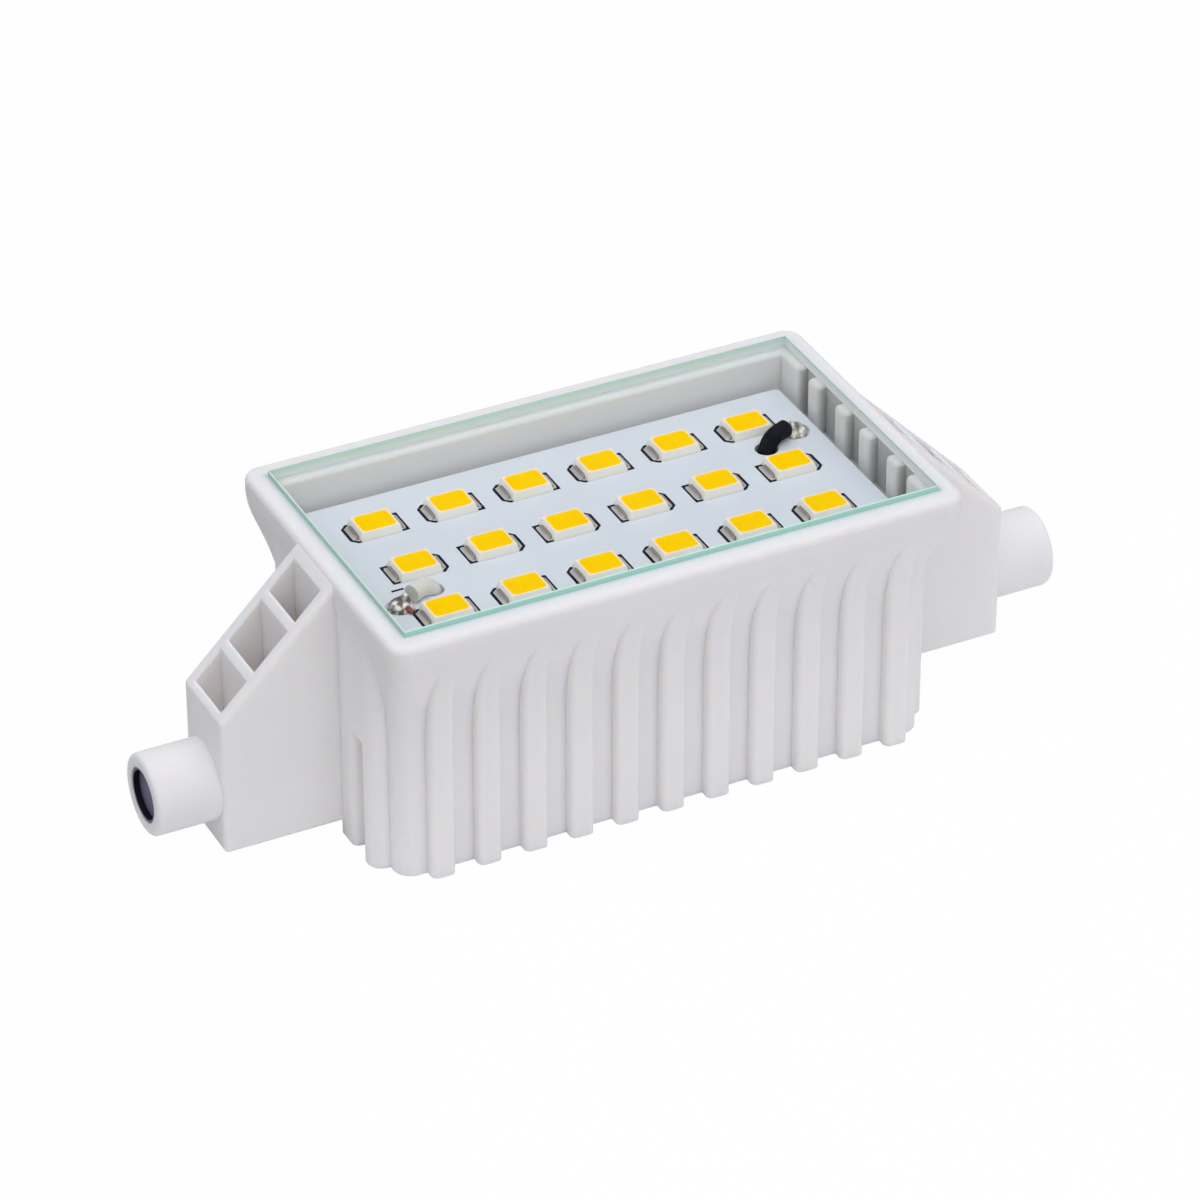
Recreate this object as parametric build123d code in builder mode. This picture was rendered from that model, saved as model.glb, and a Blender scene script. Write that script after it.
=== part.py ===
from build123d import *
from math import radians, sin, tan
import os

os.makedirs("parts", exist_ok=True)

# Double-ended LED lamp, in millimetres.
# X runs from contact to contact, Z up to the glass; the origin is the middle of the flat base.

tolerance = 0.01

# LED array
led_columns = 6
led_rows = 3
led_pitch_x = 6.442
led_pitch_y = 6.513
led_stagger = 0.177
led_length = 3.5
led_width = 2.8
led_height = 0.7
led_draft = 8
window_border_x = 0.35
window_border_y = 0.3
window_depth = 0.4
window_radius = 0.35
pad_length = 0.6
pad_width = 2.0
pad_height = 0.15

# LED board
board_margin_x = 3.145
board_margin_y = 2.87
board_thickness = 1.6
board_corner = 0.5
board_end_gap = 0.65
board_side_gap = 0.72

# Glass cover and the rim that frames it
glass_seat_x = 0.9
glass_seat_y = 1.0
glass_clearance = 0.15
glass_thickness = 2.0
glass_proud = 0.4
glass_arris = 0.15
glass_to_board = 2.76
lip_width_x = 1.5
lip_width_y = 1.6
lip_radius = 0.6
seat_radius = 0.4

# Flared wall: an upright wall, a foot arc, a short straight and a head arc up to the rim
flare_start = 11.85
flare_foot_end = 19.25
flare_head_start = 19.55
flare_top = 21.95
rim_band = 1.2
side_flare_angle = 34.5
end_flare_angle = 17.5
corner_radius = 1.5
side_wall = 1.4
end_wall = 2.3
floor_thickness = 2.0
well_corner = 0.8

# Ribs on the long sides, slotted pads on the ends
rib_pitch = 3.92
rib_width = 1.96
rib_shift = 0.2
rib_land = 1.5
rib_flare_start = 14.05
rib_flare_angle = 28.7
rib_inset = 0.05
rib_edge_radius = 0.5
rib_root = 0.5
end_pad_land = 1.9
end_pad_inset = 0.2
end_pad_radius = 1.2
end_slot_pitch = 4.2
end_slot_width = 1.5
end_slot_radius = 0.6
end_slot_depth = 1.0
end_slot_height = 10.95

# Fins inside the end walls
fin_inner_place = 1.95
fin_outer_place = 6.4
fin_width = 1.6
fin_depth = 0.95
fin_radius = 0.4
fin_reach = 8.8

# Wings and caps
wing_run = 9.6
wing_width = 6.95
wing_bottom = 1.1
wing_shoulder = 13.05
wing_drop = 0.4
wing_edge_radius = 0.4
pocket_wall_x = 0.65
pocket_wall_y = 1.05
pocket_web = 0.78
end_pocket_length = 2.03
pocket_edge_radius = 0.2
pocket_clearance = 4.0
cap_length = 5.2
cap_diameter = 6.6
cap_axis_height = 6.13
cap_edge_radius = 0.4
cap_root = 0.6
recess_diameter = 4.5
recess_depth = 1.9
channel_diameter = 1.8

# Contacts and their leads
contact_clearance = 0.05
contact_drop = 0.1
contact_dish_depth = 0.5
contact_dish_wall = 0.2
shank_length = 2.2
contact_lead_diameter = 1.0
contact_lead_lap = 2.0

# Driver
driver_gap_x = 1.8
driver_gap_y = 1.2
driver_thickness = 1.0
driver_lead_clearance = 0.05
post_width = 2.4
post_inset = 2.2
part_clearance = 0.1
rectifier_size = (4.7, 3.9, 2.4)
rectifier_place = (-11.0, 4.2)
chip_size = (4.9, 3.9, 1.5)
chip_place = (11.6, -3.6)
choke_diameter = 8.0
choke_height = 7.5
choke_place = (6.2, 2.6)
choke_winding_diameter = 6.8
choke_flange = 1.4
capacitor_diameter = 7.0
capacitor_length = 11.0
capacitor_place = (-4.6, -2.6)
can_edge_radius = 0.4
resistor_diameter = 2.6
resistor_length = 7.0
resistor_place = (-5.2, 5.4)

# Leads to the LED board
lead_diameter = 1.4
lead_hole_clearance = 0.23
lead_bend = 1.3
lead_hole_x = 15.95
lead_hole_y = 3.15
lead_end_x = 18.1
lead_end_y = 4.1
joint_gap = 1.25
joint_diameter = 2.0
joint_height = 0.75

# Sizes that follow
led_span_x = (led_columns - 1) * led_pitch_x + led_length
led_span_y = (led_rows - 1) * led_pitch_y + led_width
board_length = led_span_x + 2 * board_margin_x
board_width = led_span_y + 2 * board_margin_y
chamber_length = board_length + 2 * board_end_gap
chamber_width = board_width + 2 * board_side_gap
glass_length = chamber_length + 2 * glass_seat_x
glass_width = chamber_width + 2 * glass_seat_y
rebate_length = glass_length + 2 * glass_clearance
rebate_width = glass_width + 2 * glass_clearance
rim_length = rebate_length + 2 * lip_width_x
rim_width = rebate_width + 2 * lip_width_y
rim_top = flare_top + rim_band
glass_bottom = rim_top + glass_proud - glass_thickness
board_top = glass_bottom - glass_to_board
board_seat = board_top - board_thickness


def flare_reach(angle, start):
    """How far a wall leans out between the start of its foot arc and the end of its head arc."""
    bends = flare_foot_end - start + flare_top - flare_head_start
    return bends * tan(radians(angle / 2)) + (flare_head_start - flare_foot_end) * tan(radians(angle))


base_length = rim_length - 2 * flare_reach(end_flare_angle, flare_start)
base_width = rim_width - 2 * flare_reach(side_flare_angle, flare_start)
well_length = base_length - 2 * end_wall
well_width = base_width - 2 * side_wall
side_rib_steps = int((base_length / 2 - rib_land - rib_width / 2) / rib_pitch)
side_rib_count = 2 * side_rib_steps + 1
end_pad_face = rim_length / 2 - end_pad_inset
end_pad_width = base_width - 2 * end_pad_land
end_pad_edge = end_pad_radius + end_slot_radius
end_slot_count = 2 * int((end_pad_width / 2 - end_pad_edge - end_slot_width / 2) / end_slot_pitch + 1 / 2)
fin_back = chamber_length / 2 + fin_depth
wing_start = rim_length / 2
wing_face = wing_start + wing_run
wing_root = rim_top - wing_drop
cap_end = wing_face + cap_length
driver_length = well_length - 2 * driver_gap_x
driver_width = well_width - 2 * driver_gap_y
driver_top = cap_axis_height - contact_lead_diameter / 2 - driver_lead_clearance
driver_seat = driver_top - driver_thickness


def flared_outline(inner, half_rim, angle, start, top):
    """Half section of a wall that leans out by the flare angle, closed back to an inner line."""
    half_base = half_rim - flare_reach(angle, start)
    foot_radius = (flare_foot_end - start) / sin(radians(angle))
    head_radius = (flare_top - flare_head_start) / sin(radians(angle))
    FilletPolyline(
        (half_base, 0),
        (half_base, start + foot_radius * tan(radians(angle / 2))),
        (half_rim, flare_top - head_radius * tan(radians(angle / 2))),
        (half_rim, top),
        radius=[foot_radius, head_radius],
    )
    Polyline((half_rim, top), (inner, top), (inner, 0), (half_base, 0))


# One rib of the long sides, on the side of +Y and a little off the middle.
# It flares less than the wall, so it fades out under the rim.
rib_head = rim_width / 2 - rib_inset
with BuildPart() as rib:
    with BuildSketch(Plane.YZ.offset(-rib_width / 2 - rib_shift)):
        with BuildLine():
            flared_outline(base_width / 2 - rib_root, rib_head, rib_flare_angle, rib_flare_start, flare_top + rib_inset)
        make_face()
    extrude(amount=rib_width)
    back_edges = rib.faces().sort_by(Axis.Y)[0].edges()
    rib_sides = rib.faces().sort_by(Axis.X)[0].edges() + rib.faces().sort_by(Axis.X)[-1].edges()
    front_edges = [e for e in rib_sides - back_edges if abs((e @ 0).Z - (e @ 1).Z) > rib_inset / 2]
    fillet(front_edges, rib_edge_radius)

# One end's pad, flush under the rim and slotted below, on the side of +X
with BuildPart() as end_pad:
    with BuildSketch():
        with Locations((base_length / 2 - rib_root, 0)):
            Rectangle(end_pad_face - base_length / 2 + rib_root, end_pad_width, align=(Align.MIN, Align.CENTER))
    extrude(amount=flare_top)
    fillet(end_pad.faces().sort_by(Axis.X)[-1].edges().filter_by(Axis.Z), end_pad_radius)
    with BuildSketch():
        with Locations((end_pad_face, 0)):
            with GridLocations(0, end_slot_pitch, 1, end_slot_count):
                Rectangle(2 * end_slot_depth, end_slot_width)
    extrude(amount=end_slot_height, mode=Mode.SUBTRACT)
    slot_edges = end_pad.edges().filter_by(Axis.Z).filter_by(
        lambda e: abs(e.center().X - end_pad_face) < tolerance and abs(e.center().Z - end_slot_height / 2) < tolerance
    )
    fillet(slot_edges, end_slot_radius)

# One wing with its cap, on the side of +X
with BuildPart() as wing:
    with BuildSketch(Plane.XZ):
        with BuildLine():
            Polyline(
                (wing_start - lip_width_x, wing_bottom),
                (wing_face, wing_bottom),
                (wing_face, wing_shoulder),
                (wing_start, wing_root),
                (wing_start - lip_width_x, wing_root),
                close=True,
            )
        make_face()
    extrude(amount=wing_width / 2, both=True)
    inner_edges = wing.faces().sort_by(Axis.X)[0].edges()
    fillet(wing.edges() - inner_edges, wing_edge_radius)
    with BuildSketch(Plane.YZ.offset(wing_face - cap_root)):
        with Locations((0, cap_axis_height)):
            Circle(cap_diameter / 2)
    extrude(amount=cap_length + cap_root)
    fillet(wing.faces().sort_by(Axis.X)[-1].edges(), cap_edge_radius)
    middle_pocket_length = wing_run - 2 * (pocket_wall_x + end_pocket_length + pocket_web)
    pocket_pitch = middle_pocket_length / 2 + pocket_web + end_pocket_length / 2
    with BuildSketch(Plane.XY.offset(cap_axis_height + pocket_clearance)):
        with Locations((wing_start + wing_run / 2, 0)):
            Rectangle(middle_pocket_length, wing_width - 2 * pocket_wall_y)
            with GridLocations(2 * pocket_pitch, 0, 2, 1):
                Rectangle(end_pocket_length, wing_width - 2 * pocket_wall_y)
    extrude(amount=rim_top, mode=Mode.SUBTRACT)
    slope = wing.faces().filter_by(GeomType.PLANE).sort_by(lambda f: f.normal_at().X + f.normal_at().Z)[-1]
    fillet([e for mouth in slope.inner_wires() for e in mouth.edges()], pocket_edge_radius)

# Housing: the two flared sections crossed, ribs, pads and wings added, then hollowed from the top
with BuildPart() as housing:
    with BuildSketch(Plane.YZ):
        with BuildLine():
            flared_outline(0, rim_width / 2, side_flare_angle, flare_start, rim_top)
        make_face()
        mirror(about=Plane.YZ)
    extrude(amount=rim_length / 2, both=True)
    with BuildSketch(Plane.XZ):
        with BuildLine():
            flared_outline(0, rim_length / 2, end_flare_angle, flare_start, rim_top)
        make_face()
        mirror(about=Plane.YZ)
    extrude(amount=rim_width / 2, both=True, mode=Mode.INTERSECT)
    corner_edges = housing.edges().filter_by(
        lambda e: abs(e.center().X) > well_length / 2 and abs(e.center().Y) > well_width / 2
    )
    fillet(corner_edges, corner_radius)
    fillet(housing.faces().sort_by(Axis.Z)[-1].edges(), lip_radius)
    with GridLocations(rib_pitch, 0, side_rib_count, 1):
        add(rib.part)
        add(rib.part, rotation=(0, 0, 180))
    with PolarLocations(0, 2):
        add(end_pad.part)
        add(wing.part)
    # Well for the driver, chamber for the LED board with fins left standing at its ends, rebate for the glass
    with BuildSketch(Plane.XY.offset(floor_thickness)):
        RectangleRounded(well_length, well_width, well_corner)
    extrude(amount=rim_top, mode=Mode.SUBTRACT)
    with BuildSketch(Plane.XY.offset(board_seat)) as chamber:
        Rectangle(chamber_length, chamber_width)
        Rectangle(2 * fin_back, 2 * fin_reach)
        for fin_place in (fin_inner_place, fin_outer_place):
            with GridLocations(chamber_length + fin_depth, 2 * fin_place, 2, 2):
                Rectangle(fin_depth, fin_width, mode=Mode.SUBTRACT)
        fin_corners = chamber.vertices().filter_by(
            lambda v: abs(abs(v.X) - chamber_length / 2) < tolerance and abs(v.Y) < fin_reach + tolerance
        )
        fillet(fin_corners, fin_radius)
    extrude(amount=glass_bottom - board_seat, mode=Mode.SUBTRACT)
    with BuildSketch(Plane.XY.offset(glass_bottom)):
        Rectangle(rebate_length, rebate_width)
    extrude(amount=rim_top, mode=Mode.SUBTRACT)
    seat_edges = housing.edges().filter_by(
        lambda e: abs(e.center().Z - glass_bottom) < tolerance
        and abs(e.center().X) < fin_back - tolerance
        and abs(e.center().Y) < chamber_width / 2 + tolerance
    )
    fillet(seat_edges, seat_radius)
    # Contact recesses, lead channels and posts for the driver board
    with BuildSketch(Plane.YZ):
        with Locations((0, cap_axis_height)):
            Circle(channel_diameter / 2)
    extrude(amount=cap_end - cap_edge_radius, both=True, mode=Mode.SUBTRACT)
    with PolarLocations(0, 2):
        with Locations(Location((cap_end, 0, cap_axis_height), (0, 90, 0))):
            Hole(recess_diameter / 2, recess_depth)
    with BuildSketch(Plane.XY.offset(floor_thickness)):
        with GridLocations(driver_length - 2 * post_inset, driver_width - 2 * post_inset, 2, 2):
            Rectangle(post_width, post_width)
    extrude(amount=driver_seat - floor_thickness)
housing.part.label = "housing"
export_step(housing.part, "parts/housing.step")

# Clear glass cover, standing a little proud of the rim
with BuildPart() as glass_cover:
    with BuildSketch(Plane.XY.offset(glass_bottom)):
        Rectangle(glass_length, glass_width)
    extrude(amount=glass_thickness)
    chamfer(glass_cover.edges(), glass_arris)
glass_cover.part.label = "glass_cover"
export_step(glass_cover.part, "parts/glass_cover.step")

# LED board, with a hole for each lead
lead_holes = [(-lead_hole_x, -lead_hole_y), (lead_hole_x, lead_hole_y)]
with BuildPart() as led_board:
    with BuildSketch(Plane.XY.offset(board_seat)):
        RectangleRounded(board_length, board_width, board_corner)
        with Locations(lead_holes):
            Circle(lead_diameter / 2 + lead_hole_clearance, mode=Mode.SUBTRACT)
    extrude(amount=board_thickness)
led_board.part.label = "led_board"
export_step(led_board.part, "parts/led_board.step")

# One LED: a drafted package with a rounded window sunk in its top
with BuildPart() as led_body:
    with BuildSketch(Plane.XY.offset(board_top)):
        Rectangle(led_length, led_width)
    extrude(amount=led_height, taper=led_draft)
    with BuildSketch(Plane.XY.offset(board_top + led_height - window_depth)):
        RectangleRounded(led_length - 2 * window_border_x, led_width - 2 * window_border_y, window_radius)
    extrude(amount=window_depth, mode=Mode.SUBTRACT)

with BuildPart() as led_window:
    with BuildSketch(Plane.XY.offset(board_top + led_height - window_depth)):
        RectangleRounded(led_length - 2 * window_border_x, led_width - 2 * window_border_y, window_radius)
    extrude(amount=window_depth)

# The middle row is turned end for end, which staggers the rows
led_places = []
for row in range(led_rows):
    for column in range(led_columns):
        x = (column - (led_columns - 1) / 2) * led_pitch_x
        y = (row - (led_rows - 1) / 2) * led_pitch_y
        turned = row % 2 == 1
        led_places.append(Location((x + (led_stagger if turned else -led_stagger), y, 0), (0, 0, 180 * turned)))

for number, place in enumerate(led_places, start=1):
    for kind, piece in (("led_body", led_body.part), ("led_window", led_window.part)):
        name = f"{kind}_{number:02d}"
        placed = piece.moved(place)
        placed.label = name
        export_step(placed, f"parts/{name}.step")

# Solder on the end pads of every LED
with BuildPart() as led_solder:
    with BuildSketch(Plane.XY.offset(board_top)):
        with Locations(led_places):
            with GridLocations(led_length + pad_length, 0, 2, 1):
                Rectangle(pad_length, pad_width)
    extrude(amount=pad_height)
led_solder.part.label = "led_solder"
export_step(led_solder.part, "parts/led_solder.step")

# The two leads come up from the driver board, bend over the edge of their holes and lie on the LED board
lead_height = board_top + lead_diameter / 2 + part_clearance
run_x = lead_end_x - lead_hole_x
run_y = lead_end_y - lead_hole_y
run_length = (run_x**2 + run_y**2) ** 0.5
joint_x = lead_end_x + joint_gap * run_x / run_length
joint_y = lead_end_y + joint_gap * run_y / run_length
joint_radius = ((joint_diameter / 2) ** 2 + joint_height**2) / (2 * joint_height)

with BuildPart() as black_lead:
    with BuildLine() as lead_route:
        FilletPolyline(
            (lead_hole_x, lead_hole_y, driver_top + part_clearance),
            (lead_hole_x, lead_hole_y, lead_height),
            (lead_end_x, lead_end_y, lead_height),
            radius=lead_bend,
        )
    with BuildSketch(Plane(origin=lead_route.line @ 0, z_dir=lead_route.line % 0)):
        Circle(lead_diameter / 2)
    sweep()

with BuildPart() as solder_joint:
    with Locations((joint_x, joint_y, board_top + joint_height - joint_radius)):
        Sphere(joint_radius)
    split(bisect_by=Plane.XY.offset(board_top), keep=Keep.TOP)

half_turn = Location((0, 0, 0), (0, 0, 180))
for name, placed in (
    ("black_lead", black_lead.part),
    ("white_lead", black_lead.part.moved(half_turn)),
    ("solder_joint_positive", solder_joint.part),
    ("solder_joint_negative", solder_joint.part.moved(half_turn)),
):
    placed.label = name
    export_step(placed, f"parts/{name}.step")

# Recessed contact: a dished head in the cap and a shank down the channel, with its lead behind it
contact_radius = recess_diameter / 2 - contact_clearance
shank_end = cap_end - recess_depth - shank_length
with BuildPart() as contact:
    with BuildSketch(Plane.YZ.offset(cap_end - recess_depth)):
        with Locations((0, cap_axis_height)):
            Circle(contact_radius)
    extrude(amount=recess_depth - contact_drop)
    with BuildSketch(Plane.YZ.offset(cap_end - contact_drop)):
        with Locations((0, cap_axis_height)):
            Circle(contact_radius - contact_dish_wall)
    extrude(amount=-contact_dish_depth, mode=Mode.SUBTRACT)
    with BuildSketch(Plane.YZ.offset(shank_end)):
        with Locations((0, cap_axis_height)):
            Circle(channel_diameter / 2 - contact_clearance)
    extrude(amount=shank_length)

with BuildPart() as contact_lead:
    with BuildSketch(Plane.YZ.offset(driver_length / 2 - contact_lead_lap)):
        with Locations((0, cap_axis_height)):
            Circle(contact_lead_diameter / 2)
    extrude(amount=shank_end - driver_length / 2 + contact_lead_lap)

for name, piece in (("contact", contact.part), ("contact_lead", contact_lead.part)):
    for side, turn in (("right", 0), ("left", 180)):
        placed = piece.moved(Location((0, 0, 0), (0, 0, turn)))
        placed.label = f"{name}_{side}"
        export_step(placed, f"parts/{name}_{side}.step")

# Driver board on its posts, and the parts on it
with BuildPart() as driver_board:
    with BuildSketch(Plane.XY.offset(driver_seat)):
        Rectangle(driver_length, driver_width)
    extrude(amount=driver_thickness)
driver_board.part.label = "driver_board"
export_step(driver_board.part, "parts/driver_board.step")

for name, place, size in (("rectifier", rectifier_place, rectifier_size), ("driver_chip", chip_place, chip_size)):
    with BuildPart() as package:
        with BuildSketch(Plane.XY.offset(driver_top)):
            with Locations(place):
                Rectangle(size[0], size[1])
        extrude(amount=size[2], taper=led_draft)
    package.part.label = name
    export_step(package.part, f"parts/{name}.step")

for name, place, length, diameter in (
    ("capacitor", capacitor_place, capacitor_length, capacitor_diameter),
    ("fusible_resistor", resistor_place, resistor_length, resistor_diameter),
):
    with BuildPart() as can:
        with BuildSketch(Plane.YZ.offset(place[0] - length / 2)):
            with Locations((place[1], driver_top + part_clearance + diameter / 2)):
                Circle(diameter / 2)
        extrude(amount=length)
        fillet(can.edges().filter_by(GeomType.CIRCLE), can_edge_radius)
    can.part.label = name
    export_step(can.part, f"parts/{name}.step")

# Choke: a drum core with its winding between two flanges
with BuildPart() as choke:
    with BuildSketch(Plane.XY.offset(driver_top)):
        with Locations(choke_place):
            Circle(choke_diameter / 2)
    extrude(amount=choke_height)
    with BuildSketch(Plane.XY.offset(driver_top + choke_flange)):
        with Locations(choke_place):
            Circle(choke_diameter / 2)
            Circle(choke_winding_diameter / 2, mode=Mode.SUBTRACT)
    extrude(amount=choke_height - 2 * choke_flange, mode=Mode.SUBTRACT)
choke.part.label = "choke"
export_step(choke.part, "parts/choke.step")
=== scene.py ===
import math
import bmesh
import bpy
from mathutils import Matrix, Vector


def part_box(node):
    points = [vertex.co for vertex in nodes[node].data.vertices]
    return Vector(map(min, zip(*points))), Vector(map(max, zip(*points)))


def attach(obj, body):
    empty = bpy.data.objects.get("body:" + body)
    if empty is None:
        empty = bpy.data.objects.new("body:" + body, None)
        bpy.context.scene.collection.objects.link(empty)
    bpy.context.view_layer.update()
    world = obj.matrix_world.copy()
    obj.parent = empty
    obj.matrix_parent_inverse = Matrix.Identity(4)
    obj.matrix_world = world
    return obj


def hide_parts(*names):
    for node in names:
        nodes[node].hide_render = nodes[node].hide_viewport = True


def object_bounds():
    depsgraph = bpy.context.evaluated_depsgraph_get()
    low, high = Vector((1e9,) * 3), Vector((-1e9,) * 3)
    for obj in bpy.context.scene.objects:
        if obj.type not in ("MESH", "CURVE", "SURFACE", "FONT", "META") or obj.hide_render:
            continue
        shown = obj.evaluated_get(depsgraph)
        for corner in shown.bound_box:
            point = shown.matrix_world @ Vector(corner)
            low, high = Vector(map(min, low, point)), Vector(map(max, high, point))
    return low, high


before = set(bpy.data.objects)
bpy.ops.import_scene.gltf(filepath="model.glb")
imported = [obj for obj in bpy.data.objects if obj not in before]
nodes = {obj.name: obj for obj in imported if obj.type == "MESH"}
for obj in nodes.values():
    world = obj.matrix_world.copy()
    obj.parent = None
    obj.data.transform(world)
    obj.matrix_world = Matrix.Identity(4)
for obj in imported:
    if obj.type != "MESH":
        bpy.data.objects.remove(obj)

cad_low, cad_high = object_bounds()
scene = bpy.context.scene
scene.view_settings.view_transform = "Standard"
MM = 0.001

# Studio: the lamp stands on a plain white table in a white room.
# A wide soft box hangs over it, a little to the front, and weaker ones fill the front and the left.

# Camera, at the photo's angle: a long lens looking down at the left front corner
camera_azimuth = math.radians(26.471)
camera_elevation = math.radians(33.565)
camera_roll = math.radians(-0.065)
camera_distance = 451.912
camera_focal = 5808.218 / 1200
camera_aim = Vector((0.0, 0.0, 11.55))
camera_slide = (0.197, -0.649)
back = Vector((
    -math.sin(camera_azimuth) * math.cos(camera_elevation),
    -math.cos(camera_azimuth) * math.cos(camera_elevation),
    math.sin(camera_elevation),
))
level = Vector((math.cos(camera_azimuth), -math.sin(camera_azimuth), 0.0))
upright = back.cross(level)
right = math.cos(camera_roll) * level + math.sin(camera_roll) * upright
up = -math.sin(camera_roll) * level + math.cos(camera_roll) * upright
place = camera_aim + back * camera_distance - right * camera_slide[0] - up * camera_slide[1]
camera = bpy.data.objects.new("camera", bpy.data.cameras.new("camera"))
camera.data.sensor_width = 36.0
camera.data.lens = camera_focal * camera.data.sensor_width
camera.data.clip_start = 0.01
camera.data.clip_end = 50.0
turn = Matrix((right, up, back)).transposed().to_4x4()
camera.matrix_world = Matrix.Translation(place * MM) @ turn
scene.collection.objects.link(camera)
scene.camera = camera

# Room: soft light from all round, stronger from above, and pure white where it is seen directly or mirrored
room = bpy.data.worlds.new("white_room")
scene.world = room
room.use_nodes = True
tree = room.node_tree
tree.nodes.clear()
seen = tree.nodes.new("ShaderNodeLightPath")
straight = tree.nodes.new("ShaderNodeMath")
straight.operation = "MAXIMUM"
either = tree.nodes.new("ShaderNodeMath")
either.operation = "MAXIMUM"
around = tree.nodes.new("ShaderNodeTexCoord")
parts = tree.nodes.new("ShaderNodeSeparateXYZ")
upward = tree.nodes.new("ShaderNodeMapRange")
upward.inputs["To Min"].default_value = 0.22
upward.inputs["To Max"].default_value = 0.80
fill = tree.nodes.new("ShaderNodeBackground")
fill.inputs["Color"].default_value = (0.965, 0.975, 1.035, 1.0)
tree.links.new(around.outputs["Generated"], parts.inputs["Vector"])
tree.links.new(parts.outputs["Z"], upward.inputs["Value"])
tree.links.new(upward.outputs["Result"], fill.inputs["Strength"])
white = tree.nodes.new("ShaderNodeBackground")
white.inputs["Color"].default_value = (1.0, 1.0, 1.0, 1.0)
white.inputs["Strength"].default_value = 1.0
blend = tree.nodes.new("ShaderNodeMixShader")
out = tree.nodes.new("ShaderNodeOutputWorld")
tree.links.new(seen.outputs["Is Camera Ray"], straight.inputs[0])
tree.links.new(seen.outputs["Is Transmission Ray"], straight.inputs[1])
tree.links.new(straight.outputs[0], either.inputs[0])
tree.links.new(seen.outputs["Is Glossy Ray"], either.inputs[1])
tree.links.new(either.outputs[0], blend.inputs["Fac"])
tree.links.new(fill.outputs[0], blend.inputs[1])
tree.links.new(white.outputs[0], blend.inputs[2])
tree.links.new(blend.outputs[0], out.inputs["Surface"])

# Table: a wide white sheet that keeps only a faint shadow of the lamp, with a pool of light painted into its
# colour, palest round the lamp
table_half = 3.0
table_spot = (0.02, -0.03, -0.0002)
table_mesh = bpy.data.meshes.new("table")
table_mesh.from_pydata(
    [(x * table_half, y * table_half, 0) for x, y in ((-1, -1), (1, -1), (1, 1), (-1, 1))],
    [],
    [(0, 1, 2, 3)],
)
table = bpy.data.objects.new("table", table_mesh)
table.location = table_spot
scene.collection.objects.link(table)
sheet = bpy.data.materials.new("white_table")
sheet.use_nodes = True
tree = sheet.node_tree
tree.nodes.clear()
seen = tree.nodes.new("ShaderNodeLightPath")
dull = tree.nodes.new("ShaderNodeBsdfDiffuse")
ground = tree.nodes.new("ShaderNodeTexCoord")
spread = tree.nodes.new("ShaderNodeVectorMath")
spread.operation = "LENGTH"
painted_light_pool = tree.nodes.new("ShaderNodeMapRange")
painted_light_pool.interpolation_type = "SMOOTHSTEP"
painted_light_pool.inputs["From Min"].default_value = 0.04
painted_light_pool.inputs["From Max"].default_value = 0.12
painted_light_pool.inputs["To Min"].default_value = 0.95
painted_light_pool.inputs["To Max"].default_value = 0.35
tree.links.new(ground.outputs["Object"], spread.inputs[0])
tree.links.new(spread.outputs["Value"], painted_light_pool.inputs["Value"])
tree.links.new(painted_light_pool.outputs["Result"], dull.inputs["Color"])
bright = tree.nodes.new("ShaderNodeEmission")
bright.inputs["Color"].default_value = (1.0, 1.0, 1.0, 1.0)
bright.inputs["Strength"].default_value = 1.0
share = tree.nodes.new("ShaderNodeMath")
share.operation = "MULTIPLY"
share.inputs[1].default_value = 0.985
blend = tree.nodes.new("ShaderNodeMixShader")
out = tree.nodes.new("ShaderNodeOutputMaterial")
tree.links.new(seen.outputs["Is Camera Ray"], share.inputs[0])
tree.links.new(share.outputs[0], blend.inputs["Fac"])
tree.links.new(dull.outputs[0], blend.inputs[1])
tree.links.new(bright.outputs[0], blend.inputs[2])
tree.links.new(blend.outputs[0], out.inputs["Surface"])
table_mesh.materials.append(sheet)

# Soft boxes: one overhead towards the front, one low in front and one high on the left
box_aim = Vector((0, 0, 0.012))
for name, spot, size, power in (
    ("overhead_box", (0.0, -0.15, 0.75), 1.0, 2.4),
    ("front_box", (0.1, -1.0, 0.30), 0.8, 1.1),
    ("left_box", (-0.7, 0.0, 0.65), 0.6, 0.35),
):
    lamp = bpy.data.lights.new(name, "AREA")
    lamp.shape = "SQUARE"
    lamp.size = size
    lamp.energy = power
    lamp.color = (0.97, 0.98, 1.04)
    holder = bpy.data.objects.new(name, lamp)
    holder.location = spot
    holder.rotation_mode = "QUATERNION"
    holder.rotation_quaternion = (Vector(spot) - box_aim).to_track_quat("Z", "Y")
    scene.collection.objects.link(holder)

# Flag: a black card hung high behind the lamp, where the pane would mirror the room, so that the pane stays clear
flag_distance = 0.6
flag_half = (0.13, 0.11)
flag_mesh = bpy.data.meshes.new("flag")
flag_mesh.from_pydata(
    [(x * flag_half[0], y * flag_half[1], 0) for x, y in ((-1, -1), (1, -1), (1, 1), (-1, 1))],
    [],
    [(0, 1, 2, 3)],
)
flag = bpy.data.objects.new("flag", flag_mesh)
mirrored = Vector((-back.x, -back.y, back.z))
flag.location = mirrored * flag_distance + cad_high.z * Vector((0, 0, 1))
flag.rotation_mode = "QUATERNION"
flag.rotation_quaternion = mirrored.to_track_quat("Z", "Y")
scene.collection.objects.link(flag)


def new_finish(name, rough, specular=0.5, metallic=0.0):
    """Starts a finish and gives back the material, its nodes and its shader."""
    finish = bpy.data.materials.new(name)
    finish.use_nodes = True
    shader = finish.node_tree.nodes["Principled BSDF"]
    shader.inputs["Roughness"].default_value = rough
    shader.inputs["Specular IOR Level"].default_value = specular
    shader.inputs["Metallic"].default_value = metallic
    return finish, finish.node_tree, shader


felt, tree, shader = new_finish("black_felt", 1.0, 0.0)
shader.inputs["Base Color"].default_value = (0.002, 0.002, 0.002, 1.0)
flag_mesh.materials.append(felt)

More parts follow.
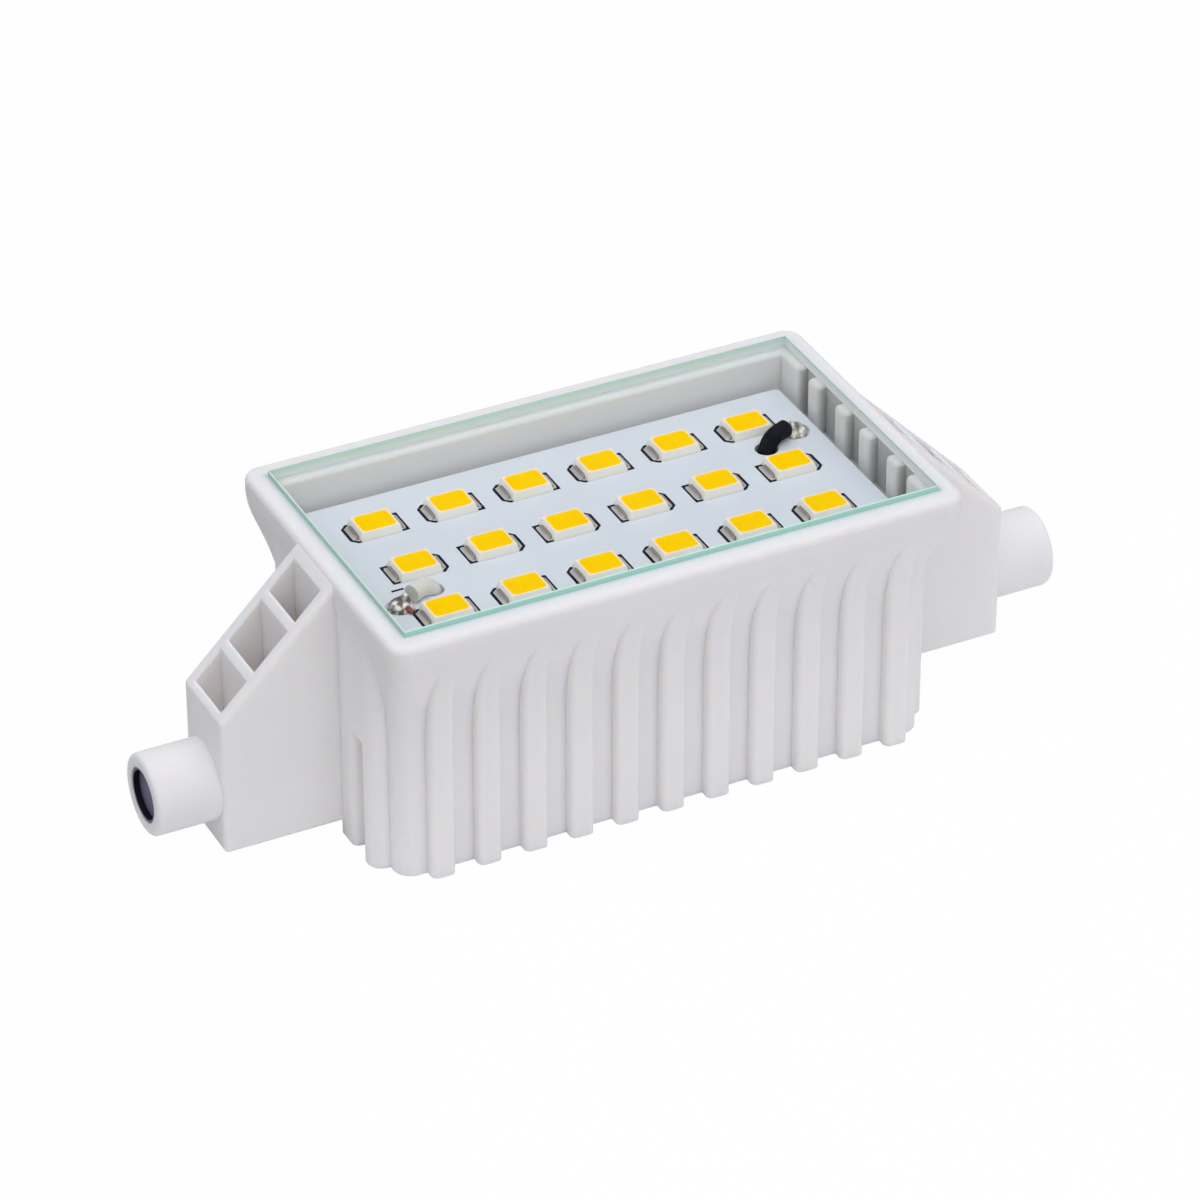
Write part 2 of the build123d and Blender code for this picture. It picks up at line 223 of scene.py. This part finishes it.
# Housing: one white plastic moulding, ribbed outside and hollow inside, satin from the mould.
# The CAD solid has its true shape, so it stays and takes the finish: faint clouding and a fine spark texture.
def fine_grain(tree, shader, scale, depth, detail=6.0):
    """Gives a finish the fine bump that its surface has from the mould or the mill."""
    coordinates = tree.nodes.new("ShaderNodeTexCoord")
    grain = tree.nodes.new("ShaderNodeTexNoise")
    grain.inputs["Scale"].default_value = scale
    grain.inputs["Detail"].default_value = detail
    bump = tree.nodes.new("ShaderNodeBump")
    bump.inputs["Strength"].default_value = 0.35
    bump.inputs["Distance"].default_value = depth
    tree.links.new(coordinates.outputs["Object"], grain.inputs["Vector"])
    tree.links.new(grain.outputs["Fac"], bump.inputs["Height"])
    tree.links.new(bump.outputs["Normal"], shader.inputs["Normal"])
    return coordinates


def clouded(tree, shader, coordinates, scale, dark, pale, low=0.3, high=0.7):
    """Lets a finish drift between two close colours, as a moulded or printed surface does."""
    cloud = tree.nodes.new("ShaderNodeTexNoise")
    cloud.inputs["Scale"].default_value = scale
    cloud.inputs["Detail"].default_value = 3.0
    ramp = tree.nodes.new("ShaderNodeValToRGB")
    ramp.color_ramp.elements[0].position = low
    ramp.color_ramp.elements[0].color = (*dark, 1.0)
    ramp.color_ramp.elements[1].position = high
    ramp.color_ramp.elements[1].color = (*pale, 1.0)
    tree.links.new(coordinates.outputs["Object"], cloud.inputs["Vector"])
    tree.links.new(cloud.outputs["Fac"], ramp.inputs["Fac"])
    tree.links.new(ramp.outputs["Color"], shader.inputs["Base Color"])


moulding, tree, shader = new_finish("white_moulding", 0.48, 0.08)
shader.inputs["Subsurface Weight"].default_value = 1.0
shader.inputs["Subsurface Radius"].default_value = (1.0, 0.8, 0.6)
shader.inputs["Subsurface Scale"].default_value = 0.0006
coordinates = fine_grain(tree, shader, 5200.0, 0.00002)
clouded(tree, shader, coordinates, 90.0, (0.905, 0.885, 0.870), (0.925, 0.905, 0.890))

# Slots between the fins inside its ends: painted shade, greyer towards their bottoms
slot_margin = 0.1 * MM
slot_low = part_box("led_board")[0].z - slot_margin
slot_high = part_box("glass_cover")[0].z - 3 * slot_margin
slot_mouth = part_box("led_board")[1].x + 0.8 * MM
slot_floor = slot_mouth + 0.7 * MM
slot_reach = 9.2 * MM
slot_shade_tone = (0.56, 0.55, 0.54)
parts = tree.nodes.new("ShaderNodeSeparateXYZ")
tree.links.new(coordinates.outputs["Object"], parts.inputs["Vector"])
away, aside = (tree.nodes.new("ShaderNodeMath") for axis in "XY")
for axis, distance in (("X", away), ("Y", aside)):
    distance.operation = "ABSOLUTE"
    tree.links.new(parts.outputs[axis], distance.inputs[0])
deep = tree.nodes.new("ShaderNodeMapRange")
deep.inputs["From Min"].default_value = slot_mouth
deep.inputs["From Max"].default_value = slot_floor
tree.links.new(away.outputs[0], deep.inputs["Value"])
share = deep.outputs["Result"]
for source, test, limit in (
    (away.outputs[0], "LESS_THAN", slot_floor + 3 * slot_margin),
    (aside.outputs[0], "LESS_THAN", slot_reach),
    (parts.outputs["Z"], "GREATER_THAN", slot_low),
    (parts.outputs["Z"], "LESS_THAN", slot_high),
):
    inside = tree.nodes.new("ShaderNodeMath")
    inside.operation = test
    inside.inputs[1].default_value = limit
    tree.links.new(source, inside.inputs[0])
    both = tree.nodes.new("ShaderNodeMath")
    both.operation = "MULTIPLY"
    tree.links.new(share, both.inputs[0])
    tree.links.new(inside.outputs[0], both.inputs[1])
    share = both.outputs[0]
painted_slot_shade = tree.nodes.new("ShaderNodeMix")
painted_slot_shade.data_type = "RGBA"
painted_slot_shade.inputs[7].default_value = (*slot_shade_tone, 1.0)
tree.links.new(share, painted_slot_shade.inputs[0])
tree.links.new(shader.inputs["Base Color"].links[0].from_socket, painted_slot_shade.inputs[6])
tree.links.new(painted_slot_shade.outputs[2], shader.inputs["Base Color"])
nodes["housing"].material_slots[0].material = moulding

# Glass cover: a pane of clear float glass, its edges cut and lightly ground, laid in the rim's rebate.
# The big faces are clear; the cut edges gather the glass's own green, and the back and end edges carry painted
# light, paler towards their bottoms.
glass_low, glass_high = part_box("glass_cover")
pane_bevel = 0.12 * MM


def stand(shape, name):
    """Makes a finished shape an object in the scene."""
    mesh = bpy.data.meshes.new(name)
    shape.to_mesh(mesh)
    shape.free()
    piece = bpy.data.objects.new(name, mesh)
    scene.collection.objects.link(piece)
    return piece


pane = bmesh.new()
bmesh.ops.create_cube(pane, size=1.0)
for corner in pane.verts:
    for axis in range(3):
        corner.co[axis] = glass_high[axis] if corner.co[axis] > 0 else glass_low[axis]
bmesh.ops.bevel(pane, geom=pane.edges[:], offset=pane_bevel, segments=2, profile=0.5, affect="EDGES")
for face in pane.faces:
    if abs(face.normal.z) < 0.99:
        face.material_index = 1 if face.normal.y < -0.5 else 3 if abs(face.normal.x) > 0.5 else 2
glass_pane = stand(pane, "glass_pane")

clear = bpy.data.materials.new("clear_pane")
clear.use_nodes = True
tree = clear.node_tree
shader = tree.nodes["Principled BSDF"]
shader.inputs["Base Color"].default_value = (0.985, 0.995, 0.99, 1.0)
shader.inputs["Roughness"].default_value = 0.0
shader.inputs["IOR"].default_value = 1.5
shader.inputs["Transmission Weight"].default_value = 1.0
shader.inputs["Specular IOR Level"].default_value = 0.02
through = tree.nodes.new("ShaderNodeBsdfTransparent")
through.inputs["Color"].default_value = (0.99, 1.0, 0.995, 1.0)
path = tree.nodes.new("ShaderNodeLightPath")
passing = tree.nodes.new("ShaderNodeMath")
passing.operation = "MAXIMUM"
blend = tree.nodes.new("ShaderNodeMixShader")
out = tree.nodes["Material Output"]
tree.links.new(path.outputs["Is Shadow Ray"], passing.inputs[0])
tree.links.new(path.outputs["Is Diffuse Ray"], passing.inputs[1])
tree.links.new(passing.outputs[0], blend.inputs["Fac"])
tree.links.new(shader.outputs[0], blend.inputs[1])
tree.links.new(through.outputs[0], blend.inputs[2])
tree.links.new(blend.outputs[0], out.inputs["Surface"])

glass_pane.data.materials.append(clear)
# Front edges keep the glass's green; back and end edges are painted paler, most towards their bottoms: painted
# light standing for the white rebate seen through them.
for name, low_tone, high_tone, low_level, high_level in (
    ("green_cut_edge", (0.42, 0.74, 0.63), (0.46, 0.79, 0.68), 0.35, 0.55),
    ("back_cut_edge_painted_light", (0.86, 0.93, 0.89), (0.70, 0.95, 0.82), 0.35, 0.55),
    ("end_cut_edge_painted_light", (0.93, 0.94, 0.93), (0.48, 0.70, 0.61), 0.66, 0.76),
):
    cut_edge, tree, shader = new_finish(name, 0.35, 0.1)
    coordinates = fine_grain(tree, shader, 3000.0, 0.00001)
    parts = tree.nodes.new("ShaderNodeSeparateXYZ")
    height = tree.nodes.new("ShaderNodeMapRange")
    height.inputs["From Min"].default_value = glass_low.z
    height.inputs["From Max"].default_value = glass_high.z
    depth = tree.nodes.new("ShaderNodeValToRGB")
    depth.color_ramp.elements[0].position = low_level
    depth.color_ramp.elements[0].color = (*low_tone, 1.0)
    depth.color_ramp.elements[1].position = high_level
    depth.color_ramp.elements[1].color = (*high_tone, 1.0)
    tree.links.new(coordinates.outputs["Object"], parts.inputs["Vector"])
    tree.links.new(parts.outputs["Z"], height.inputs["Value"])
    tree.links.new(height.outputs["Result"], depth.inputs["Fac"])
    tree.links.new(depth.outputs["Color"], shader.inputs["Base Color"])
    glass_pane.data.materials.append(cut_edge)
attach(glass_pane, "root")
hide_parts("glass_cover")

# Seal: a thin bead of white silicone round the pane.
# It is run into the gap between the pane and the rim and wiped off level.
seal_gap = 0.15
seal_start = 0.01
seal_low = glass_high.z - 1.5 * MM
seal_high = glass_high.z - 0.45 * MM
seal_shape = bmesh.new()
seal_rings = []
for reach, level in (
    (seal_start, seal_low), (seal_gap, seal_low), (seal_gap, seal_high), (seal_start, seal_high),
):
    half_x = glass_high.x + reach * MM
    half_y = glass_high.y + reach * MM
    corners = ((half_x, half_y), (-half_x, half_y), (-half_x, -half_y), (half_x, -half_y))
    seal_rings.append([seal_shape.verts.new((x, y, level)) for x, y in corners])
for at in range(4):
    ring, beyond = seal_rings[at], seal_rings[(at + 1) % 4]
    for corner in range(4):
        following = (corner + 1) % 4
        seal_shape.faces.new((ring[corner], ring[following], beyond[following], beyond[corner]))
bmesh.ops.recalc_face_normals(seal_shape, faces=seal_shape.faces[:])
glass_seal = stand(seal_shape, "glass_seal")
silicone, tree, shader = new_finish("white_silicone", 0.45, 0.15)
coordinates = fine_grain(tree, shader, 1200.0, 0.00004)
clouded(tree, shader, coordinates, 200.0, (0.80, 0.82, 0.81), (0.84, 0.86, 0.85))
glass_seal.data.materials.append(silicone)
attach(glass_seal, "root")

# LED board: an aluminium-backed circuit board, white solder mask on top, with the LEDs soldered to it.
# Its screen print is dark: a bracket round each end of every LED and the minus sign of one lead.
board_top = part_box("led_board")[1].z
mask, tree, shader = new_finish("white_solder_mask", 0.4, 0.08)
coordinates = fine_grain(tree, shader, 2400.0, 0.00001)
clouded(tree, shader, coordinates, 160.0, (0.85, 0.885, 0.945), (0.88, 0.915, 0.975))
nodes["led_board"].material_slots[0].material = mask

led_pitch = (6.442, 6.513)
led_stagger = 0.177
led_spots = []
for row in range(3):
    for column in range(6):
        swapped = row == 1
        shift = led_stagger if swapped else -led_stagger
        led_spots.append(((column - 2.5) * led_pitch[0] + shift, (row - 1) * led_pitch[1], swapped))

print_line = 0.24
minus_line = 0.2
print_height = 0.02
cut_bracket = [(-1.5, 1.27), (-1.92, 1.27), (-2.35, 0.84), (-2.35, -0.84), (-1.92, -1.27), (-1.5, -1.27)]
square_bracket = [(1.5, 1.2), (2.26, 1.2), (2.26, -1.2), (1.5, -1.2)]
minus_sign = [(-18.85, -2.1), (-17.85, -2.1)]


def printed_line(shape, points, wide, low, high):
    """Adds one printed line, mitred at its corners, as a thin raised strip."""
    rails = []
    for at, point in enumerate(points):
        before = Vector(points[max(at - 1, 0)])
        after = Vector(points[min(at + 1, len(points) - 1)])
        here = Vector(point)
        ahead = (after - here).normalized() if after != here else (here - before).normalized()
        behind = (here - before).normalized() if before != here else ahead
        middle = (ahead + behind).normalized()
        side = Vector((-middle.y, middle.x)) * (wide / 2 / max(middle.dot(ahead), 0.5))
        rails.append([
            shape.verts.new(((here + side * s).x * MM, (here + side * s).y * MM, z))
            for s, z in ((-1, low), (1, low), (1, high), (-1, high))
        ])
    for start, end in zip(rails, rails[1:]):
        for edge in range(4):
            shape.faces.new((start[edge], end[edge], end[(edge + 1) % 4], start[(edge + 1) % 4]))
    shape.faces.new(rails[0])
    shape.faces.new(reversed(rails[-1]))


marks = bmesh.new()
for spot_x, spot_y, swapped in led_spots:
    turn = -1 if swapped else 1
    for bracket in (cut_bracket, square_bracket):
        route = [(spot_x + turn * x, spot_y + turn * y) for x, y in bracket]
        printed_line(marks, route, print_line, board_top, board_top + print_height * MM)
printed_line(marks, minus_sign, minus_line, board_top, board_top + print_height * MM)
bmesh.ops.recalc_face_normals(marks, faces=marks.faces[:])
board_print = stand(marks, "board_print")
ink, tree, shader = new_finish("dark_screen_print", 0.55, 0.02)
coordinates = fine_grain(tree, shader, 4000.0, 0.00001)
clouded(tree, shader, coordinates, 900.0, (0.012, 0.013, 0.022), (0.03, 0.032, 0.045))
board_print.data.materials.append(ink)
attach(board_print, "root")

# LEDs: cream moulded packages, each with a well of yellow phosphor resin in its top.
# The packages taper to the top, with softened edges and a pale rim round the resin. Their finishes carry a
# painted glow, strongest in the resin.
led_height = 0.7
led_points = 8


def rounded_loop(shape, half_x, half_y, radius, z):
    """Adds one rounded rectangle of points at a height."""
    loop = []
    for turn, (sign_x, sign_y) in enumerate(((1, 1), (-1, 1), (-1, -1), (1, -1))):
        for step in range(led_points):
            angle = math.pi / 2 * (turn + step / (led_points - 1))
            x = sign_x * (half_x - radius) + radius * math.cos(angle)
            y = sign_y * (half_y - radius) + radius * math.sin(angle)
            loop.append(shape.verts.new((x * MM, y * MM, z * MM)))
    return loop


package = bmesh.new()
# Each level: half length, half width, corner radius, height and the finish of the band below it
levels = [
    (1.750, 1.400, 0.10, 0.0, 0),
    (1.735, 1.385, 0.10, 0.16, 0),
    (1.605, 1.265, 0.12, 0.65, 0),
    (1.560, 1.220, 0.14, led_height, 0),
    (1.470, 1.148, 0.42, led_height, 1),
    (1.395, 1.073, 0.40, led_height - 0.012, 3),
    (1.100, 0.800, 0.25, led_height - 0.03, 2),
]
loops = [rounded_loop(package, *level[:4]) for level in levels]
for level, low, high in zip(levels[1:], loops, loops[1:]):
    for at in range(len(low)):
        following = (at + 1) % len(low)
        face = package.faces.new((low[at], low[following], high[following], high[at]))
        face.material_index = level[4]
        face.smooth = True
package.faces.new(loops[-1]).material_index = 2
package.faces.new(list(reversed(loops[0]))).material_index = 0
led_mesh = bpy.data.meshes.new("led_package")
package.to_mesh(led_mesh)
package.free()

# Each finish here has a faint emission: a painted glow.
body_finish, tree, shader = new_finish("cream_package_painted_glow", 0.4, 0.05)
shader.inputs["Emission Color"].default_value = (1.0, 0.92, 0.88, 1.0)
shader.inputs["Emission Strength"].default_value = 0.08
coordinates = fine_grain(tree, shader, 3500.0, 0.00001)
clouded(tree, shader, coordinates, 500.0, (0.93, 0.88, 0.80), (0.98, 0.93, 0.85))
rim_finish, tree, shader = new_finish("pale_package_rim_painted_glow", 0.35, 0.05)
shader.inputs["Emission Color"].default_value = (1.0, 0.74, 0.58, 1.0)
shader.inputs["Emission Strength"].default_value = 0.18
coordinates = fine_grain(tree, shader, 3500.0, 0.00001)
clouded(tree, shader, coordinates, 500.0, (1.0, 0.84, 0.70), (1.0, 0.90, 0.78))
phosphor, tree, shader = new_finish("yellow_phosphor_painted_glow", 0.5, 0.0)
shader.inputs["Emission Color"].default_value = (1.0, 0.62, 0.0, 1.0)
shader.inputs["Emission Strength"].default_value = 0.32
coordinates = fine_grain(tree, shader, 2500.0, 0.00001)
clouded(tree, shader, coordinates, 700.0, (0.96, 0.56, 0.0), (1.0, 0.62, 0.002))
resin_edge, tree, shader = new_finish("pale_resin_edge_painted_glow", 0.5, 0.0)
shader.inputs["Emission Color"].default_value = (1.0, 0.66, 0.18, 1.0)
shader.inputs["Emission Strength"].default_value = 0.28
coordinates = fine_grain(tree, shader, 2500.0, 0.00001)
clouded(tree, shader, coordinates, 700.0, (1.0, 0.64, 0.16), (1.0, 0.70, 0.24))
for finish in (body_finish, rim_finish, phosphor, resin_edge):
    led_mesh.materials.append(finish)
for number, (spot_x, spot_y, swapped) in enumerate(led_spots, start=1):
    led = bpy.data.objects.new(f"led_{number:02d}", led_mesh)
    led.location = (spot_x * MM, spot_y * MM, board_top)
    led.rotation_euler.z = math.pi if swapped else 0.0
    scene.collection.objects.link(led)
    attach(led, "root")
    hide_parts(f"led_body_{number:02d}", f"led_window_{number:02d}")

# LED solder: a dull tin fillet at each end of every package.
# It is drawn up from its pad to the package's foot as the solder paste melts.
fillet_half = 0.95
fillet_lift = 0.01
fillet_rows = ((-1.0, 0.25), (-0.86, 0.85), (-0.4, 1.0), (0.4, 1.0), (0.86, 0.85), (1.0, 0.25))
fillet_profile = [(1.70, 0.34), (1.80, 0.27), (1.90, 0.17), (2.02, 0.09), (2.15, 0.04), (2.24, 0.0)]
fillets = bmesh.new()
for spot_x, spot_y, swapped in led_spots:
    for side in (-1, 1):
        rows = []
        for across, droop in fillet_rows:
            rows.append([
                fillets.verts.new((
                    (spot_x + side * x) * MM,
                    (spot_y + across * fillet_half) * MM,
                    board_top + (fillet_lift + height * droop) * MM,
                ))
                for x, height in fillet_profile
            ])
        for low, high in zip(rows, rows[1:]):
            for at in range(len(low) - 1):
                face = fillets.faces.new((low[at], low[at + 1], high[at + 1], high[at]))
                face.smooth = True
bmesh.ops.recalc_face_normals(fillets, faces=fillets.faces[:])
for face in fillets.faces:
    if face.normal.z < 0:
        face.normal_flip()
led_fillets = stand(fillets, "led_fillets")
tin, tree, shader = new_finish("dull_tin", 0.5, metallic=0.5)
coordinates = fine_grain(tree, shader, 1800.0, 0.00004)
# The fillets are painted darker where they are steep and paler where they lie flat: painted shade.
parts = tree.nodes.new("ShaderNodeSeparateXYZ")
painted_slope_shade = tree.nodes.new("ShaderNodeValToRGB")
painted_slope_shade.color_ramp.elements[0].position = 0.72
painted_slope_shade.color_ramp.elements[0].color = (0.22, 0.19, 0.175, 1.0)
painted_slope_shade.color_ramp.elements[1].position = 0.96
painted_slope_shade.color_ramp.elements[1].color = (0.66, 0.62, 0.60, 1.0)
tree.links.new(coordinates.outputs["Normal"], parts.inputs["Vector"])
tree.links.new(parts.outputs["Z"], painted_slope_shade.inputs["Fac"])
tree.links.new(painted_slope_shade.outputs["Color"], shader.inputs["Base Color"])
led_fillets.data.materials.append(tin)
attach(led_fillets, "root")
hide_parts("led_solder")

# Leads: stranded copper in plastic sleeves. A black and a white one come up from the driver through the board.
# Two more run inside from the driver to the contacts.
for name, dark, pale in (
    ("black_lead", (0.010, 0.010, 0.016), (0.018, 0.018, 0.026)),
    ("white_lead", (0.88, 0.85, 0.79), (0.93, 0.90, 0.84)),
    ("contact_lead_left", (0.74, 0.73, 0.70), (0.80, 0.79, 0.76)),
    ("contact_lead_right", (0.74, 0.73, 0.70), (0.80, 0.79, 0.76)),
):
    sleeve, tree, shader = new_finish(f"{name}_sleeve", 0.55, 0.03)
    coordinates = fine_grain(tree, shader, 2200.0, 0.00003)
    clouded(tree, shader, coordinates, 500.0, dark, pale)
    nodes[name].material_slots[0].material = sleeve

# Solder joints: lumps of solder that hold the bared lead ends to the board, put on by hand with an iron.
# They are crumpled and bright, with flux burnt on in brown patches.
lump_rings = 12
lump_spokes = 36
lump_spot = (19.2, 4.34)
lump_half = (1.08, 0.96)
lump_square = 3.2
lump_height = 0.72
lump_bumps = 0.28
lump_climb = 0.75
climb_offset = 0.62
climb_spread = 0.2
bump_waves = (5.3, 4.7)
edge_waves = ((0.06, 3, 1), (0.05, 5, 2))
lump_shoulder = 2.6
for name, side, dark, pale in (
    ("solder_joint_positive", 1, (0.40, 0.35, 0.30), (0.88, 0.83, 0.76)),
    ("solder_joint_negative", -1, (0.15, 0.12, 0.105), (0.90, 0.87, 0.83)),
):
    bright_solder, tree, shader = new_finish(f"{name}_finish", 0.3, metallic=0.7)
    coordinates = fine_grain(tree, shader, 1500.0, 0.0002, 2.0)
    clouded(tree, shader, coordinates, 1900.0, dark, pale, 0.40, 0.58)
    lump = bmesh.new()
    tip = lump.verts.new((0, 0, lump_height * MM))
    rings = []
    for ring in range(1, lump_rings + 1):
        reach = ring / lump_rings
        loop = []
        for spoke in range(lump_spokes):
            angle = 2 * math.pi * spoke / lump_spokes
            blunt = abs(math.cos(angle)) ** lump_square + abs(math.sin(angle)) ** lump_square
            edge = blunt ** (-1 / lump_square)
            for swing, waves, lag in edge_waves:
                edge += swing * math.sin(waves * angle + lag * side)
            x = reach * lump_half[0] * edge * math.cos(angle)
            y = reach * lump_half[1] * edge * math.sin(angle)
            bump = math.sin(bump_waves[0] * x + side) * math.cos(bump_waves[1] * y - side)
            climb = lump_climb * math.exp(-((side * x + climb_offset) ** 2 + y**2) / climb_spread)
            height = (lump_height * (1 + lump_bumps * reach * bump) + climb) * (1 - reach**lump_shoulder)
            loop.append(lump.verts.new((x * MM, y * MM, height * MM)))
        rings.append(loop)
    for spoke in range(lump_spokes):
        following = (spoke + 1) % lump_spokes
        lump.faces.new((tip, rings[0][spoke], rings[0][following])).smooth = True
        for near, far in zip(rings, rings[1:]):
            lump.faces.new((near[spoke], far[spoke], far[following], near[following])).smooth = True
    lump.faces.new(list(reversed(rings[-1])))
    joint = stand(lump, f"{name}_lump")
    joint.data.materials.append(bright_solder)
    joint.location = (side * lump_spot[0] * MM, side * lump_spot[1] * MM, board_top)
    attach(joint, "root")
    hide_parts(name)

# Copper strand: a few wires of the white lead that missed the solder.
# They lie bare beside the joint, bent down to the board.
strand_route = [(-18.95, -5.10, 0.42), (-18.86, -5.26, 0.34), (-18.76, -5.42, 0.22), (-18.68, -5.56, 0.12)]
strand_radius = 0.2
strand_sides = 12
strand = bmesh.new()
rings = []
for at, point in enumerate(strand_route):
    ahead = Vector(strand_route[min(at + 1, len(strand_route) - 1)]) - Vector(strand_route[max(at - 1, 0)])
    ahead.normalize()
    across = ahead.cross(Vector((0, 0, 1))).normalized()
    over = across.cross(ahead)
    rings.append([
        strand.verts.new(
            (Vector(point) + strand_radius * (across * math.cos(angle) + over * math.sin(angle))) * MM
            + Vector((0, 0, board_top))
        )
        for angle in (2 * math.pi * side / strand_sides for side in range(strand_sides))
    ])
for near, far in zip(rings, rings[1:]):
    for side in range(strand_sides):
        following = (side + 1) % strand_sides
        strand.faces.new((near[side], near[following], far[following], far[side])).smooth = True
strand.faces.new(rings[0])
strand.faces.new(rings[-1])
bmesh.ops.recalc_face_normals(strand, faces=strand.faces[:])
copper_strand = stand(strand, "copper_strand")
copper, tree, shader = new_finish("bare_copper", 0.5, metallic=0.4)
coordinates = fine_grain(tree, shader, 2500.0, 0.00005)
clouded(tree, shader, coordinates, 1500.0, (0.24, 0.07, 0.045), (0.50, 0.17, 0.10))
copper_strand.data.materials.append(copper)
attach(copper_strand, "root")

# Contacts: dished nickel-plated heads, sunk in the ends of the caps.
# Behind each head a shank runs down the cap's channel to its lead.
contact_metal, tree, shader = new_finish("dull_contact", 0.5, 0.1, metallic=0.3)
coordinates = fine_grain(tree, shader, 1500.0, 0.00003)
# Faces that look out along the lamp are grey-violet; the dish walls are painted near black as painted shade.
parts = tree.nodes.new("ShaderNodeSeparateXYZ")
square_on = tree.nodes.new("ShaderNodeMath")
square_on.operation = "ABSOLUTE"
painted_shade_ramp = tree.nodes.new("ShaderNodeValToRGB")
painted_shade_ramp.color_ramp.elements[0].position = 0.55
painted_shade_ramp.color_ramp.elements[0].color = (0.014, 0.011, 0.017, 1.0)
painted_shade_ramp.color_ramp.elements[1].position = 0.85
painted_shade_ramp.color_ramp.elements[1].color = (0.195, 0.172, 0.25, 1.0)
tree.links.new(coordinates.outputs["Normal"], parts.inputs["Vector"])
tree.links.new(parts.outputs["X"], square_on.inputs[0])
tree.links.new(square_on.outputs[0], painted_shade_ramp.inputs["Fac"])
tree.links.new(painted_shade_ramp.outputs["Color"], shader.inputs["Base Color"])
for name in ("contact_left", "contact_right"):
    nodes[name].material_slots[0].material = contact_metal

# Driver: a green circuit board on posts under the LED board.
# It carries the few parts such a lamp needs and can't be seen from outside.
for name, dark, pale, rough in (
    ("driver_board", (0.02, 0.13, 0.05), (0.03, 0.17, 0.07), 0.4),
    ("rectifier", (0.012, 0.012, 0.014), (0.025, 0.025, 0.03), 0.6),
    ("driver_chip", (0.012, 0.012, 0.014), (0.025, 0.025, 0.03), 0.6),
    ("capacitor", (0.015, 0.02, 0.05), (0.03, 0.035, 0.07), 0.3),
    ("fusible_resistor", (0.25, 0.36, 0.30), (0.30, 0.42, 0.36), 0.5),
    ("choke", (0.03, 0.03, 0.033), (0.05, 0.05, 0.053), 0.7),
):
    finish, tree, shader = new_finish(f"{name}_finish", rough)
    coordinates = fine_grain(tree, shader, 2600.0, 0.00002)
    clouded(tree, shader, coordinates, 400.0, dark, pale)
    nodes[name].material_slots[0].material = finish
